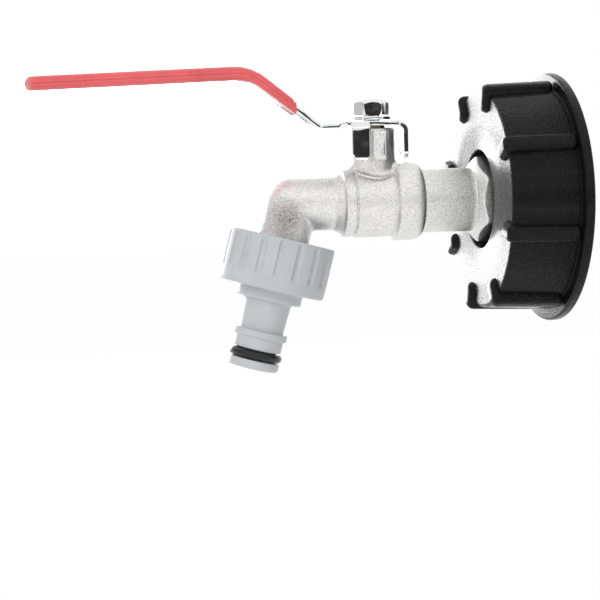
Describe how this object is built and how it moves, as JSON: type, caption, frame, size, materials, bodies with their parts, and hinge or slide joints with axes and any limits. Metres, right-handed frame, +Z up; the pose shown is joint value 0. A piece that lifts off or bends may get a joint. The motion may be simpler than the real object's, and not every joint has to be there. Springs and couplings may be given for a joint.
{
  "type": "ibc tank valve",
  "caption": "Quarter turn ball tap on a ribbed screw cap for a bulk container outlet, with bent spout, sleeved lever and push-on hose connector.",
  "frame": {"origin": "centre of the screw cap's open mouth, on the axis of the tank's outlet", "axes": "+X along the pipe into the tank, +Z up along the stem towards the lever, -Y towards the side that the picture shows"},
  "size_m": [0.1658, 0.0788, 0.095],
  "materials": {
    "cap_plastic": "pebbled black moulding with smooth worn edges",
    "cap_seal": "soft black sealing rubber",
    "fibre_seal": "grey green sealing fibre",
    "plated_brass": "satin nickel over grit-blasted brass casting",
    "chromed_ball": "polished chrome",
    "white_seal": "waxy white sealing plastic",
    "bare_brass": "turned brass",
    "chromed_steel": "bright chrome on pressed steel",
    "red_sleeve": "dipped soft red vinyl, semi-gloss",
    "grey_plastic": "satin cool grey moulding",
    "black_rubber": "black nitrile rubber"
  },
  "bodies": {
    "root": {"screw_cap": "cap_plastic", "cap_gasket": "cap_seal", "inlet_gasket": "fibre_seal", "inlet_end": "plated_brass", "tap_body": "plated_brass", "seat_ring_inlet": "white_seal", "seat_ring_outlet": "white_seal", "stem_thrust_washer": "white_seal", "stem_packing_lower": "white_seal", "stem_packing_upper": "white_seal", "gland_nut": "bare_brass", "hose_connector": "grey_plastic", "connector_washer": "black_rubber", "nipple_oring": "black_rubber"},
    "lever": {"lever": "chromed_steel", "lever_sleeve": "red_sleeve", "lock_washer": "chromed_steel", "lever_screw": "chromed_steel", "stem": "bare_brass", "ball": "chromed_ball"}
  },
  "joints": [
    {"name": "lever_turn", "type": "hinge", "parent": "root", "child": "lever", "pos_m": [-0.0588, 0, 0.0244], "axis": [0, 0, 1], "range_deg": [-90, 0]}
  ]
}
